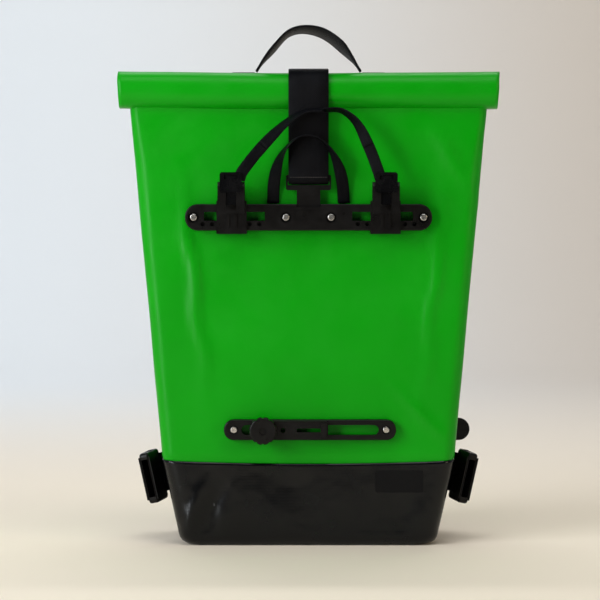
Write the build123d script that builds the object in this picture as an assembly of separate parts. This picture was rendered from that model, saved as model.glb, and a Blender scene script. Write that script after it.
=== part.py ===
from build123d import *
import os
from math import atan2, cos, degrees, hypot, radians, sin

# Roll-top bicycle pannier bag, standing on its base, in millimetres.
# +Z is up and +X runs along the mounting rails.  The flat side that hangs on the
# rack faces -Y and the side that faces the road is +Y.  The origin is the middle of
# the space the bag takes up, on the surface it stands on.

os.makedirs("parts", exist_ok=True)

# ---- bag shell -------------------------------------------------------------
bottom_width = 256.0        # across the foot
base_top_width = 294.0      # across the top edge of the black boot
mouth_width = 357.0         # across the mouth, under the roll
bottom_depth = 140.0
base_top_depth = 150.0
belly_depth = 134.0
shoulder_depth = 92.0
mouth_depth = 28.0
base_height = 86.0          # height of the black boot
belly_height = 250.0
shoulder_height = 370.0
bag_height = 437.0          # underside of the roll
wall = 1.5                  # coated fabric
floor_wall = 2.0
corner_radius = 22.0        # upright corners, from the foot to the shoulder
mouth_corner_radius = 11.0
foot_inset = 6.0            # the foot's edge is rounded in by this much
foot_round_height = 7.0

# ---- stiffeners inside the bag ---------------------------------------------
board = 2.0                 # plastic sheet
board_side_gap = 6.0        # from the board to the rounded corner
board_foot_gap = 12.0
board_top = 400.0
base_board_gap = 10.0

# ---- roll ------------------------------------------------------------------
roll_width = 381.0
roll_height = 39.0
roll_depth = 40.0
roll_overhang = 12.0        # how far the roll stands out over the rack side
roll_round = 18.0
roll_end_slant = 3.0
stiffener_height = 24.0
stiffener = 2.0
stiffener_end_gap = 12.0
part_gap = 0.3              # between pieces that move apart

# ---- webbing ---------------------------------------------------------------
webbing_width = 40.0
webbing = 2.0
narrow_webbing_width = 12.0

# ---- rails -----------------------------------------------------------------
upper_rail_z = 329.6
upper_rail_length = 246.0
upper_rail_height = 26.5
upper_rail_plate = 8.0
rail_standoff = 4.0
rail_foot_inset = 4.5       # the foot of the rail is narrower, so that claws reach behind
upper_slot_start = 43.5
upper_slot_end = 104.0
upper_slot_height = 8.7
upper_slot_rise = 1.0
rail_end_flat = 1.0         # straight part of each rounded end
rail_edge_round = 1.4       # the front edges of both rails
detent_radius = 2.1
detent_depth = 5.0
detent_drop = 6.7
detent_pitch = 9.38
detent_start = 5.5          # first hole from the slot's inner end
detent_count = 7
upper_screw_inner = 22.5
upper_screw_outer = 114.5

lower_rail_x = 1.5
lower_rail_z = 117.5
lower_rail_length = 172.0
lower_rail_height = 20.5
lower_rail_plate = 6.0
lower_slot_length = 137.0
lower_slot_height = 10.0
slot_end_flat = 0.2
lower_channel_length = 141.0
lower_channel_height = 14.6
lower_screw_offset = 76.1
lower_recess_room = 0.6     # around the lower rail's screw heads

# ---- screws ----------------------------------------------------------------
screw_radius = 2.0
screw_hole_radius = 2.15
screw_head_radius = 3.6
screw_head = 2.2
counterbore_radius = 5.5
counterbore_depth = 3.0
washer_radius = 5.0
washer = 1.0
nut_across_flats = 7.0
nut = 3.2
hex_socket_radius = 1.25
screw_end = 1.0             # thread showing past the nut

# ---- hooks on the upper rail -----------------------------------------------
hook_x = 76.5
clamp_width = 30.0
hook_width = 26.5
clamp_wall = 3.0
claw_reach = 3.4
claw_back_gap = 1.0         # from the claw to the bag
tube_radius = 8.0           # rack tube that the hook takes
tube_rise = 24.4            # tube centre above the rail's centre line
hook_roof = 2.5
hook_arm = 4.7
hook_neck_back = 8.0        # from the bag to the back of the hook's neck
arm_drop = 20.5             # arm below the tube's centre
arm_bar = 3.0
fork_gap = 10.4             # opening that the latch swings through
fork_clearance = 0.35       # behind the latch's hub
hook_foot_x = 3.6           # two small feet under the hook's mouth
hook_foot_width = 3.2
hook_foot_depth = 1.2
hook_foot_rise = 3.0
hook_neck_bevel = 3.0

latch_width = 9.6
latch_pin_radius = 1.5
latch_bore_radius = 1.55
latch_hub_radius = 3.2
pin_forward = 9.7           # pin in front of the tube's centre
pin_rise = 6.5              # pin above the tube's centre
lever_width = 22.0
lever = 2.0
lever_gap = 0.3
lever_top = 13.5            # above the pin
lever_bottom = 6.5          # below the pin
lever_slot_width = 13.4
lever_slot_height = 4.0
lever_top_bar = 3.0
pawl = 2.7
toe = 3.5
toe_drop = 18.5             # toe's underside below the pin
toe_reach = 14.5            # toe's tip behind the pin
pawl_back_step = 1.2        # the leg's back behind the pin
lever_corner = 2.5
spring_wire_radius = 0.4
spring_turns = 3
spring_side = 2.1           # where the latch's hub ends and the spring begins
spring_gap = 0.5            # around the spring

# ---- strap hook on the closure strap ----------------------------------------
tongue_width = 23.5
tongue = 3.0
tongue_gap = 0.3
rail_front_lip = 2.4
pocket_floor_z = 327.5
lip_notch = 3.0
plate_rim = 2.5             # on each side of the strap
plate_bottom_z = 356.6
plate_top_z = 372.0
strap_slot_z = 361.8
strap_slot_height = 3.4
strap_slot_room = 1.2       # wider than the strap
window_width = 28.0
window_height = 10.0
window_depth = 0.8
window_rise = 2.4           # above the rail's centre line
strap_return = 22.0
strap_gap = 0.05            # between the closure strap and what it lies on
tongue_foot_gap = 1.0       # under the tongue, in its pocket
head_overlap = 2.0          # how far the tongue runs into the hook's head

# ---- carry loop above the rail -----------------------------------------------
loop_side_gap = 9.3         # from the closure strap to each leg
loop_leg_width = 12.4
loop_height = 68.0
loop_top_size = 3.0
loop_lean = 16.0            # degrees, leaning away from the bag
loop_tail = 15.0
loop_hinge_rise = 1.3       # above the rail

# ---- top handle ----------------------------------------------------------------
handle_half_span = 52.0
handle_rise = 43.1
handle_width = 25.0
handle_lean = 20.0          # degrees, leaning to the road side
handle_taper = ((0.08, 0.0), (0.32, 7.0), (0.6, 10.5), (1.0, 15.0))     # share of its width, and height
handle_tail = 26.0
handle_tail_width = 3.0     # what lies flat on the roll's rounded top

# ---- lower hook ----------------------------------------------------------------
knob_x = -45.4
slider_gap = 0.3
slider_neck = 9.4
slider_head = 14.0
slider_head_depth = 3.4
bolt_radius = 3.0
bolt_bore_radius = 3.05
arm_plate = 4.0
arm_height = 18.6
arm_reach = 65.0
arm_root_radius = 12.0
arm_hole_x = 19.9
arm_hole_radius = 2.5
arm_slit_start = 33.7
arm_slit_end = 57.4
arm_slit_height = 3.8
arm_rib = 3.0
arm_corner = 4.0
arm_rib_inset = 2.0
arm_rib_end = 1.5           # from the rib to the arm's tip
arm_washer = 1.0
arm_washer_radius = 8.0
knob_radius = 13.7
knob_depth = 9.0
knob_recess_radius = 4.0
knob_recess_depth = 2.0
knob_scallops = 12
knob_scallop_radius = 2.2
knob_edge_round = 2.0
bolt_end_gap = 1.0          # from the bolt's ends to the recess and the bag

# ---- side straps with their buckle sockets ------------------------------------
side_strap_z = 69.0
side_strap_depth = 70.0     # from the rack side
side_strap_out = 5.5        # from the bag to the strap's bend
side_strap_turn = 20.0      # degrees, before the bend
side_strap_end = 8.0        # from the bend to the socket
side_strap = 2.5
side_patch = 1.2
side_patch_length = 22.0
socket_rim_side = 6.0       # wider than the strap, on each side
socket_depth = 10.0
socket_length = 34.0
socket_mouth_inset = 0.5    # narrower than the strap, on each side
socket_mouth = 7.0
socket_mouth_depth = 26.0
socket_turn = 74.0          # degrees, turned towards the rack side at rest
socket_corner = 4.0
socket_edge_round = 2.0
socket_rim = 1.0            # raised lips along the mouth
socket_rim_length = 3.0
socket_window = 10.0        # side openings that the prongs spring out of
socket_window_place = -3.0  # from the middle of the socket
side_hinge_room = 0.1
patch_margin = 2.0          # around the strap that is sewn on

# ---- tab and label --------------------------------------------------------------
tab_z = 111.5
tab_height = 23.0
tab_reach = 17.0
tab = 3.0
label_x = 91.0
label_z = 65.0
label_width = 48.0
label_height = 22.0
label = 0.8

# ---- far-side strap ---------------------------------------------------------------
adjuster_rim = 5.0          # on each side of the strap
adjuster_length = 26.0
adjuster = 4.0
adjuster_start = 38.0       # down the shoulder slope from the mouth
adjuster_slot = 4.5
adjuster_corner = 3.0
adjuster_slot_places = (7.0, 19.0)
adjuster_slot_room = 1.5    # wider than the strap
far_strap_run = 95.0        # down the belly slope from the shoulder
far_patch_margin = 10.0     # on each side of the strap
far_patch_length = 46.0
far_patch = 1.2

# ---- places that follow from the sizes ---------------------------------------------
upper_rail_depth = upper_rail_plate + rail_standoff
lower_rail_depth = lower_rail_plate + rail_standoff
upper_rail_top = upper_rail_z + upper_rail_height / 2
upper_rail_bottom = upper_rail_z - upper_rail_height / 2
mouth_back = upper_rail_depth + part_gap + clamp_wall
tube_forward = mouth_back + tube_radius
arm_back = mouth_back + 2 * tube_radius
arm_front = arm_back + hook_arm
tube_z = upper_rail_z + tube_rise
pin_y_forward = tube_forward + pin_forward
pin_z = tube_z + pin_rise
hook_top = tube_z + tube_radius + hook_roof
lever_back = arm_front + lever_gap
front_reach = lever_back + lever
back_y = (front_reach - base_top_depth) / 2      # the bag's rack-side face
roll_y = back_y - roll_overhang + roll_depth / 2
roll_z = bag_height + roll_height / 2
far_y = back_y + mouth_depth

panel_top = bag_height - part_gap
loop_leg_x = webbing_width / 2 + loop_side_gap + loop_leg_width / 2


def width_at(z):
    """Width of the bag at height z, above the boot."""
    share = (z - base_height) / (bag_height - base_height)
    return base_top_width + (mouth_width - base_top_width) * share


def boot_width_at(z):
    """Width of the boot at height z."""
    return bottom_width + (base_top_width - bottom_width) * z / base_height


def section(z, width, depth, radius, inset=0.0):
    """One level of the bag: a rounded rectangle with its back edge on the rack side."""
    outline = RectangleRounded(width - 2 * inset, depth - 2 * inset, radius - inset)
    return Pos(0, back_y + depth / 2, z) * outline


def bag_form(inset):
    """The whole bag as one closed form, drawn in by inset on every side."""
    foot_depth = bottom_depth + (base_top_depth - bottom_depth) * foot_round_height / base_height
    levels = [
        section(0, bottom_width, bottom_depth, corner_radius, foot_inset + inset),
        section(foot_round_height, boot_width_at(foot_round_height), foot_depth, corner_radius, inset),
        section(base_height, base_top_width, base_top_depth, corner_radius, inset),
        section(belly_height, width_at(belly_height), belly_depth, corner_radius, inset),
        section(shoulder_height, width_at(shoulder_height), shoulder_depth, corner_radius, inset),
        section(panel_top, mouth_width, mouth_depth, mouth_corner_radius, inset),
    ]
    return loft(levels, ruled=True)


def block(x0, x1, y0, y1, z0, z1):
    """A box from its lowest to its highest corner."""
    size = Box(x1 - x0, y1 - y0, z1 - z0)
    return Pos((x0 + x1) / 2, (y0 + y1) / 2, (z0 + z1) / 2) * size


def rod(x, y, z, radius, length, direction="y"):
    """A round rod with its middle at a point, along x or y."""
    turn = Rot(0, 90, 0) if direction == "x" else Rot(90, 0, 0)
    return Pos(x, y, z) * turn * Cylinder(radius, length)


def plate_y(sketch, y0, y1):
    """A shape drawn on X and Z, as thick as y0 to y1."""
    face = Plane(origin=(0, y1, 0), x_dir=(1, 0, 0), z_dir=(0, -1, 0)) * sketch
    return extrude(face, y1 - y0)


def bar_x(sketch, width, x=0.0):
    """A shape drawn on Y and Z, with its width along X about x."""
    return Pos(x, 0, 0) * extrude(Plane.YZ * sketch, width / 2, both=True)


def at(y, z, shape):
    """Move a drawn shape to its two coordinates."""
    return Pos(y, z) * shape


def ribbon(points, thickness):
    """A flat band's outline along a bent line of points, with mitred turns."""
    left = []
    right = []
    for index, (u, v) in enumerate(points):
        before = points[max(index - 1, 0)]
        after = points[min(index + 1, len(points) - 1)]
        here_in = (u - before[0], v - before[1])
        here_out = (after[0] - u, after[1] - v)
        if index == 0:
            here_in = here_out
        if index == len(points) - 1:
            here_out = here_in
        angle_in = atan2(here_in[1], here_in[0])
        angle_out = atan2(here_out[1], here_out[0])
        middle = (angle_in + angle_out) / 2
        half = thickness / 2 / cos((angle_out - angle_in) / 2)
        left.append((u - half * sin(middle), v + half * cos(middle)))
        right.append((u + half * sin(middle), v - half * cos(middle)))
    return Polygon(*left, *reversed(right), align=None)


def soften_front(shape):
    """Round the edges around a plate's front face."""
    front = shape.faces().sort_by(Axis.Y)[0]
    return fillet(front.edges(), rail_edge_round)


def save(name, shape):
    """Write one node's solids."""
    export_step(shape, f"parts/{name}.step")


def join(pieces):
    """Several separate solids kept together in one node."""
    solids = []
    for piece in pieces:
        solids.extend(piece.solids())
    return Compound(children=solids)


# ---- bag ---------------------------------------------------------------------------
def screw_places():
    """X and Z of every rail screw: four in the upper rail, two in the lower one."""
    upper = [(side * x, upper_rail_z) for x in (upper_screw_outer, upper_screw_inner) for side in (-1, 1)]
    lower = [(lower_rail_x + side * lower_screw_offset, lower_rail_z) for side in (-1, 1)]
    return upper, lower


def screw_holes(y0, y1):
    """Clearance holes for all the rail screws, between two depths."""
    upper, lower = screw_places()
    middle = (y0 + y1) / 2
    holes = [rod(x, middle, z, screw_hole_radius, y1 - y0) for x, z in upper + lower]
    return join(holes)


def bag_panels():
    """The boot and the four panels, cut from one thin shell."""
    reach = 2 * bag_height
    inside = bag_form(wall) - block(-reach, reach, -reach, reach, -1, floor_wall)
    shell = bag_form(0) - inside
    boot = shell & block(-reach, reach, -reach, reach, -1, base_height)
    upper = shell & block(-reach, reach, -reach, reach, base_height, bag_height)

    low = base_top_width / 2 - corner_radius
    high = mouth_width / 2 - corner_radius
    core = plate_y(Polygon((-low, base_height), (low, base_height), (high, bag_height),
                           (-high, bag_height), align=None), -reach, reach)
    middle = upper & core
    sides = upper - core
    split_y = back_y + mouth_depth / 2
    back = middle & block(-reach, reach, back_y - 1, split_y, 0, bag_height)
    front = middle & block(-reach, reach, split_y, reach, 0, bag_height)
    left = sides & block(-reach, 0, -reach, reach, 0, bag_height)
    right = sides & block(0, reach, -reach, reach, 0, bag_height)
    holes = screw_holes(back_y - 1, back_y + wall + 1)
    save("base_boot", boot)
    save("back_panel", back - holes)
    save("front_panel", front)
    save("left_gusset", left)
    save("right_gusset", right)


def inner_boards():
    """Stiff plastic sheets behind the rails and in the base."""
    inset = corner_radius + board_side_gap
    low = boot_width_at(board_foot_gap) / 2 - inset
    middle = base_top_width / 2 - inset
    high = width_at(board_top) / 2 - inset
    outline = Polygon((-low, board_foot_gap), (low, board_foot_gap), (middle, base_height),
                      (high, board_top), (-high, board_top), (-middle, base_height), align=None)
    y0 = back_y + wall
    sheet = plate_y(outline, y0, y0 + board)
    save("back_board", sheet - screw_holes(y0 - 1, y0 + board + 1))

    floor_outline = section(floor_wall, bottom_width, bottom_depth, corner_radius, base_board_gap)
    save("base_board", extrude(floor_outline, board))


def label_patch():
    """The plain patch on the boot."""
    outline = Pos(label_x, label_z) * RectangleRounded(label_width, label_height, 2)
    save("label_patch", plate_y(outline, back_y - label, back_y))


def side_tab():
    """The round-ended tab on the right side."""
    y = back_y + side_strap_depth
    x = width_at(tab_z) / 2
    half = tab_height / 2
    shape = block(x - half, x + tab_reach - half, y, y + tab, tab_z - half, tab_z + half)
    end = rod(x + tab_reach - half, y + tab / 2, tab_z, half, tab)
    lower = width_at(tab_z - half) / 2
    upper = width_at(tab_z + half) / 2
    inside = Polygon((x - tab_height, tab_z - half), (lower, tab_z - half),
                     (upper, tab_z + half), (x - tab_height, tab_z + half), align=None)
    save("side_tab", shape + end - plate_y(inside, y - 1, y + tab + 1))


# ---- upper rail -----------------------------------------------------------------------
def upper_rail():
    """The moulded rail: a wide plate on a narrower foot, with slots, holes and a pocket."""
    front = back_y - upper_rail_depth
    plate_back = back_y - rail_standoff
    round_end = (upper_rail_height - rail_end_flat) / 2
    plate_shape = Pos(0, upper_rail_z) * RectangleRounded(upper_rail_length, upper_rail_height, round_end)
    foot_shape = Pos(0, upper_rail_z) * RectangleRounded(
        upper_rail_length - 2 * rail_foot_inset, upper_rail_height - 2 * rail_foot_inset,
        round_end - rail_foot_inset)
    plate = soften_front(plate_y(plate_shape, front, plate_back))
    rail = plate + plate_y(foot_shape, plate_back, back_y)

    slot_z = upper_rail_z + upper_slot_rise
    for side in (-1, 1):
        ends = sorted((side * upper_slot_start, side * upper_slot_end))
        rail -= block(ends[0], ends[1], front - 1, back_y + 1,
                      slot_z - upper_slot_height / 2, slot_z + upper_slot_height / 2)
        for index in range(detent_count):
            x = side * (upper_slot_start + detent_start + index * detent_pitch)
            rail -= rod(x, front, upper_rail_z - detent_drop, detent_radius, 2 * detent_depth)
        tail_x = side * loop_leg_x
        rail -= block(tail_x - loop_leg_width / 2, tail_x + loop_leg_width / 2,
                      back_y - webbing, back_y + 1, upper_rail_top - loop_tail, upper_rail_top + 1)
    for x, z in screw_places()[0]:
        rail -= rod(x, back_y, z, screw_hole_radius, 2 * upper_rail_depth + 2)
        rail -= rod(x, front, z, counterbore_radius, 2 * counterbore_depth)

    pocket = tongue_width / 2 + tongue_gap
    pocket_back = front + rail_front_lip + tongue + 2 * tongue_gap
    rail -= block(-pocket, pocket, front + rail_front_lip, pocket_back, pocket_floor_z, upper_rail_top + 1)
    rail -= block(-pocket, pocket, front - 1, pocket_back, upper_rail_top - lip_notch, upper_rail_top + 1)
    window = Pos(0, upper_rail_z + window_rise) * RectangleRounded(window_width, window_height, 2)
    rail -= plate_y(window, front - 1, front + window_depth)
    save("upper_rail", rail)


def screw(x, z, head_y, end_y):
    """A pan-head screw along +Y, with its head in front of head_y."""
    shank = rod(x, (head_y + end_y) / 2, z, screw_radius, end_y - head_y)
    head = rod(x, head_y - screw_head / 2, z, screw_head_radius, screw_head)
    rim = head.edges().filter_by(GeomType.CIRCLE).sort_by(Axis.Y)[0]
    head = fillet(rim, screw_head / 2)
    drive = Pos(x, z) * RegularPolygon(hex_socket_radius, 6)
    hexagon = plate_y(drive, head_y - screw_head - 1, head_y - screw_head / 2)
    return head + shank - hexagon


def washer_ring(x, z, y0):
    """A flat washer on a screw, from y0 into the bag."""
    middle = y0 + washer / 2
    return rod(x, middle, z, washer_radius, washer) - rod(x, middle, z, screw_hole_radius, washer + 1)


def hex_nut(x, z, y0):
    """A nut on a screw, from y0 into the bag."""
    across = RegularPolygon(nut_across_flats / 2, 6, major_radius=False)
    body = plate_y(Pos(x, z) * across, y0, y0 + nut)
    return body - rod(x, y0 + nut / 2, z, screw_radius, nut + 1)


def rail_fasteners(name, places, rail_depth):
    """The screws of one rail, with the washers and nuts inside the bag."""
    head_y = back_y - rail_depth + counterbore_depth
    inside = back_y + wall + board
    end_y = inside + washer + nut + screw_end
    save(f"{name}_screws", join([screw(x, z, head_y, end_y) for x, z in places]))
    save(f"{name}_washers", join([washer_ring(x, z, inside) for x, z in places]))
    save(f"{name}_nuts", join([hex_nut(x, z, inside + washer) for x, z in places]))


# ---- hooks on the upper rail ------------------------------------------------------------
def hook_profile():
    """Side view of the hook above its clamp: neck, roof and outer arm around the tube."""
    tube_y = back_y - tube_forward
    neck_back = back_y - hook_neck_back
    front = back_y - arm_front
    arm_foot = tube_z - arm_drop
    outline = Polygon((neck_back, upper_rail_top + part_gap), (neck_back, hook_top - hook_neck_bevel),
                      (neck_back - hook_neck_bevel, hook_top),
                      (front + latch_hub_radius, hook_top), (front, hook_top - latch_hub_radius - 1),
                      (front, arm_foot), (back_y - mouth_back, arm_foot),
                      (back_y - mouth_back, upper_rail_top + part_gap), align=None)
    mouth = at(tube_y, tube_z, Circle(tube_radius))
    way_in = at(tube_y, tube_z - tube_radius * 2, Rectangle(2 * tube_radius, 4 * tube_radius))
    return outline - mouth - way_in


def clamp_profile():
    """Side view of the clamp: a C that slides along the rail, with claws behind its plate."""
    plate_back = back_y - rail_standoff + part_gap
    claw_back = back_y - claw_back_gap
    front = back_y - mouth_back
    inner_top = upper_rail_top + part_gap
    inner_bottom = upper_rail_bottom - part_gap
    height = inner_top - inner_bottom + 2 * clamp_wall
    shell = at((front + claw_back) / 2, upper_rail_z, Rectangle(claw_back - front, height))
    hollow_front = front + clamp_wall
    room = at((hollow_front + plate_back) / 2, upper_rail_z,
              Rectangle(plate_back - hollow_front, inner_top - inner_bottom))
    behind = at((plate_back + claw_back) / 2, upper_rail_z,
                Rectangle(claw_back - plate_back + 1, inner_top - inner_bottom - 2 * claw_reach))
    return shell - room - behind


def hook_body(x):
    """One hook: its clamp on the rail and the fork-ended arm over the rack tube."""
    hook = bar_x(hook_profile(), hook_width, x) + bar_x(clamp_profile(), clamp_width, x)
    pin_y = back_y - pin_y_forward
    arm_foot = tube_z - arm_drop
    slot_back = pin_y + latch_hub_radius + fork_clearance
    hook -= block(x - fork_gap / 2, x + fork_gap / 2, back_y - arm_front - 1, slot_back,
                  arm_foot + arm_bar, hook_top + 1)
    front = back_y - arm_front
    bearing = pin_y - front
    corner = block(x - clamp_width, x + clamp_width, front - 1, pin_y, pin_z, hook_top + 1)
    hook -= corner - rod(x, pin_y, pin_z, bearing, 3 * clamp_width, "x")
    hook -= rod(x, pin_y, pin_z, latch_pin_radius, 2 * hook_width, "x")
    foot_y = back_y - mouth_back
    for side in (-1, 1):
        foot_x = x + side * hook_foot_x
        hook += block(foot_x - hook_foot_width / 2, foot_x + hook_foot_width / 2,
                      foot_y - hook_foot_depth, foot_y,
                      upper_rail_bottom + hook_foot_rise, upper_rail_z + hook_foot_rise)
    return hook


def latch(x):
    """The sprung latch: a front lever, its hub on the pin and the toe under the tube."""
    pin_y = back_y - pin_y_forward
    front = back_y - lever_back
    low = pin_z - lever_bottom
    high = pin_z + lever_top
    shield = plate_y(Pos(x, (low + high) / 2) * RectangleRounded(lever_width, high - low, lever_corner),
                     front - lever, front)
    slot_z = high - lever_top_bar - lever_slot_height / 2
    shield -= block(x - lever_slot_width / 2, x + lever_slot_width / 2, front - lever - 1, front + 1,
                    slot_z - lever_slot_height / 2, slot_z + lever_slot_height / 2)
    half = latch_width / 2
    neck = block(x - half, x + half, front - 0.01, pin_y, pin_z - latch_hub_radius, pin_z + latch_hub_radius)
    hub = rod(x, pin_y, pin_z, latch_hub_radius, latch_width, "x")
    pawl_back = pin_y + pawl_back_step
    foot = pin_z - toe_drop
    leg = block(x - half, x + half, pawl_back - pawl, pawl_back, foot, pin_z)
    nose = block(x - half, x + half, pawl_back - pawl, pin_y + toe_reach, foot, foot + toe)
    body = shield + neck + hub + leg + nose
    body -= rod(x, pin_y, pin_z, latch_bore_radius, 2 * latch_width, "x")
    spring_room = block(x + spring_side, x + latch_width, front, pin_y + latch_hub_radius + 1,
                        pin_z - latch_hub_radius - spring_gap, pin_z + latch_hub_radius + spring_gap)
    return body - spring_room


def latch_spring(x):
    """Turns of the latch's torsion spring around its pin."""
    ring_radius = latch_pin_radius + spring_wire_radius + 0.3
    pitch = 2 * spring_wire_radius + 0.02
    start = x + spring_side + spring_gap
    turns = []
    for index in range(spring_turns):
        place = Pos(start + index * pitch, back_y - pin_y_forward, pin_z) * Rot(0, 90, 0)
        turns.append(place * Torus(ring_radius, spring_wire_radius))
    return join(turns)


def rail_hooks():
    """Both hooks, with their latches, pins and springs."""
    for name, x in (("left", -hook_x), ("right", hook_x)):
        save(f"{name}_hook", hook_body(x))
        save(f"{name}_latch", latch(x))
        save(f"{name}_latch_pin", rod(x, back_y - pin_y_forward, pin_z, latch_pin_radius, hook_width, "x"))
        save(f"{name}_latch_spring", latch_spring(x))


# ---- straps between and above the hooks ----------------------------------------------------
def strap_section(point, run, twist):
    """A narrow strap's cross-section at a point, square to its run.

    At twist 0 its width lies along Y, and at twist 1 it lies across the run, facing Y."""
    across = Vector(*run).cross(Vector(0, 1, 0)).normalized()
    angle = radians(90 * twist)
    width_way = Vector(0, 1, 0) * cos(angle) + across * sin(angle)
    plane = Plane(origin=point, x_dir=width_way, z_dir=across.cross(Vector(0, 1, 0)))
    return plane * Rectangle(narrow_webbing_width, webbing)


def release_strap():
    """The strap that joins both latches, twisting to lie edge-on against the roll."""
    start = pin_z + lever_top + 0.6
    lever_y = back_y - lever_back - lever / 2
    top_y = roll_y - roll_depth / 2 - webbing - narrow_webbing_width / 2 - 1.5
    route = [((-hook_x + 9, lever_y, start), (0, 0, 1), 1.0),
             ((-56, lever_y + 2, start + 13), (1, 0, 1), 0.9),
             ((-22, top_y - 2, start + 49), (1, 0, 0.8), 0.35),
             ((16, top_y, start + 61.5), (1, 0, 0), 0.0),
             ((44, top_y - 2, start + 53), (1, 0, -0.9), -0.35),
             ((61, lever_y + 2, start + 20), (0.4, 0, -1), -0.9),
             ((hook_x - 8.5, lever_y, start), (0, 0, -1), -1.0)]
    save("release_strap", loft([strap_section(*stop) for stop in route], ruled=True))


def arch(half_span, rise, foot_size, top_size, depth):
    """An upright half-round strap loop that stands on the X axis."""
    outer = Ellipse(half_span + foot_size / 2, rise + top_size / 2)
    inner = Ellipse(half_span - foot_size / 2, rise - top_size / 2)
    upper_half = Pos(0, rise) * Rectangle(4 * half_span, 2 * rise)
    return plate_y((outer - inner) & upper_half, -depth / 2, depth / 2)


def carry_loop():
    """The narrow loop above the rail, and its tails clamped behind the rail."""
    hinge = (0, back_y - webbing / 2 - part_gap * 2, upper_rail_top + loop_hinge_rise)
    ring = arch(loop_leg_x, loop_height, loop_leg_width, loop_top_size, webbing)
    loop = Pos(*hinge) * Rot(loop_lean, 0, 0) * ring
    tails = []
    for side in (-1, 1):
        x = side * loop_leg_x
        loop += rod(x, hinge[1], hinge[2], webbing / 2, loop_leg_width, "x")
        tails.append(block(x - loop_leg_width / 2, x + loop_leg_width / 2, back_y - webbing, back_y,
                           upper_rail_top - loop_tail, upper_rail_top))
    save("carry_loop", loop)
    save("carry_loop_tails", join(tails))


# ---- roll and closure -------------------------------------------------------------------------
def roll_outline(grow=0.0):
    """The roll's rounded cross-section on Y and Z."""
    shape = RectangleRounded(roll_depth + 2 * grow, roll_height + 2 * grow, roll_round + grow)
    return at(roll_y, roll_z, shape)


def roll_top():
    """The rolled-up mouth of the bag around its stiff strip."""
    roll = bar_x(roll_outline(), roll_width)
    half = roll_width / 2
    for side in (-1, 1):
        corner = Polygon((side * (half - roll_end_slant), bag_height + roll_height + 1),
                         (side * (half + 1), bag_height + roll_height + 1),
                         (side * (half + 1), bag_height + roll_height / 2), align=None)
        roll -= plate_y(corner, roll_y - roll_depth, roll_y + roll_depth)
    reach = half - stiffener_end_gap
    strip = block(-reach, reach, roll_y - stiffener / 2, roll_y + stiffener / 2,
                  roll_z - stiffener_height / 2, roll_z + stiffener_height / 2)
    save("roll_top", roll - strip)
    save("roll_stiffener", strip)


def slope_point(along, out):
    """A point down the far panel's shoulder from the mouth, and outwards from it."""
    run = (shoulder_depth - mouth_depth, shoulder_height - panel_top)
    length = hypot(*run)
    unit = (run[0] / length, run[1] / length)
    return (far_y + unit[0] * along - unit[1] * out, panel_top + unit[1] * along + unit[0] * out)


def shoulder_corner(out):
    """Where the shoulder and belly slopes meet, at a distance outwards from both."""
    slope = atan2(shoulder_height - panel_top, shoulder_depth - mouth_depth)
    belly = atan2(belly_height - shoulder_height, belly_depth - shoulder_depth)
    middle = (slope + belly) / 2
    reach = out / cos((slope - belly) / 2)
    return (back_y + shoulder_depth - reach * sin(middle), shoulder_height + reach * cos(middle))


def belly_point(along, out):
    """A point down the far panel's belly from the shoulder, and outwards from it."""
    run = (belly_depth - shoulder_depth, belly_height - shoulder_height)
    length = hypot(*run)
    unit = (run[0] / length, run[1] / length)
    return (back_y + shoulder_depth + unit[0] * along - unit[1] * out,
            shoulder_height + unit[1] * along + unit[0] * out)


def closure_strap():
    """The wide strap over the roll, from the adjuster to the strap hook on the rail."""
    gap = 0.05
    wrap = roll_outline(gap + webbing) - roll_outline(gap)
    over = at(roll_y, roll_z + roll_height, Rectangle(2 * roll_depth, 2 * roll_height))
    hook_front = back_y - upper_rail_depth + rail_front_lip + tongue_gap
    front_top = (roll_y - roll_depth / 2 - gap - webbing / 2, roll_z)
    front_end = (hook_front - 0.1 - webbing / 2, strap_slot_z + webbing)
    rear_top = (roll_y + roll_depth / 2 + gap + webbing / 2, roll_z)
    out = part_gap + 0.2 + webbing / 2
    rear = [rear_top, (rear_top[0] + 0.4, roll_z - 14), slope_point(2, out),
            slope_point(adjuster_start, out)]
    through = at(hook_front + tongue / 2, strap_slot_z + webbing / 2 + 0.2,
                 Rectangle(tongue + 2 * webbing, webbing))
    back_run = at(hook_front + tongue + webbing / 2 + 0.1, strap_slot_z + 0.2 + strap_return / 2,
                  Rectangle(webbing, strap_return))
    outline = (wrap & over) + ribbon([front_top, front_end], webbing) + ribbon(rear, webbing)
    outline += through + back_run
    save("closure_strap", bar_x(outline, webbing_width))


def strap_hook():
    """The flat T-shaped hook whose tongue drops into the rail's pocket."""
    front = back_y - upper_rail_depth + rail_front_lip + tongue_gap
    foot = pocket_floor_z + tongue_foot_gap
    head = Pos(0, (plate_bottom_z + plate_top_z) / 2) * RectangleRounded(
        webbing_width + 2 * plate_rim, plate_top_z - plate_bottom_z, 2)
    stem_top = plate_bottom_z + head_overlap
    stem = Pos(0, (foot + stem_top) / 2) * Rectangle(tongue_width, stem_top - foot)
    slot_width = webbing_width + strap_slot_room
    slot = Pos(0, strap_slot_z + strap_slot_height / 2) * Rectangle(slot_width, strap_slot_height)
    save("strap_hook", plate_y(head + stem - slot, front, front + tongue))


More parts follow.
